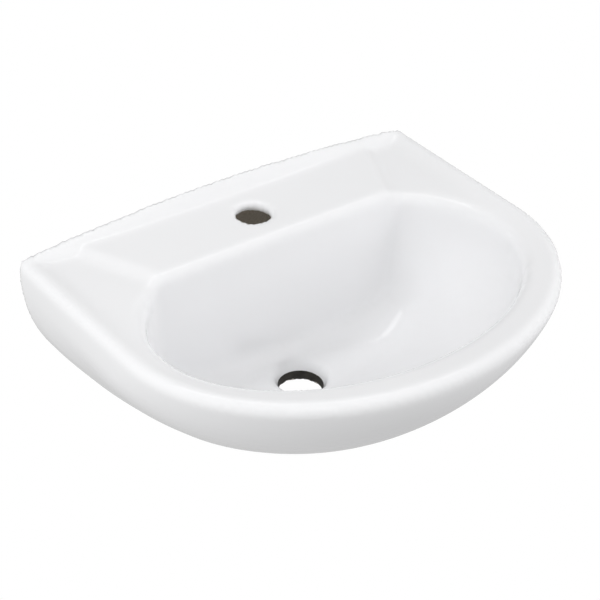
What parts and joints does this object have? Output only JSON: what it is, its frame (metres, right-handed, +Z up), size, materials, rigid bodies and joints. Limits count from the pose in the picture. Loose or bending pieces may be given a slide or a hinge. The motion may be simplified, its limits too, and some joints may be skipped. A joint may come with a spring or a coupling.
{
  "type": "wall-hung wash basin",
  "caption": "Small white wall-hung ceramic wash basin with an oval bowl, raised tap deck, arched back edge and a bolted wall-fixing set.",
  "frame": {"origin": "on the wall plane, midway between the axes of the two wall bolts", "axes": "+X to the user's right along the wall, +Y into the wall along the bolts, +Z up; the bowl faces -Y"},
  "size_m": [0.45, 0.4209, 0.1772],
  "materials": {
    "glazed_ceramic": "gloss white glaze",
    "zinc_steel": "bright zinc plating",
    "white_plastic": "natural moulded plastic"
  },
  "bodies": {
    "root": {"basin": "glazed_ceramic", "left_wall_bolt": "zinc_steel", "left_fixing_sleeve": "white_plastic", "left_washer": "zinc_steel", "left_nut": "zinc_steel", "right_wall_bolt": "zinc_steel", "right_fixing_sleeve": "white_plastic", "right_washer": "zinc_steel", "right_nut": "zinc_steel"}
  },
  "joints": []
}
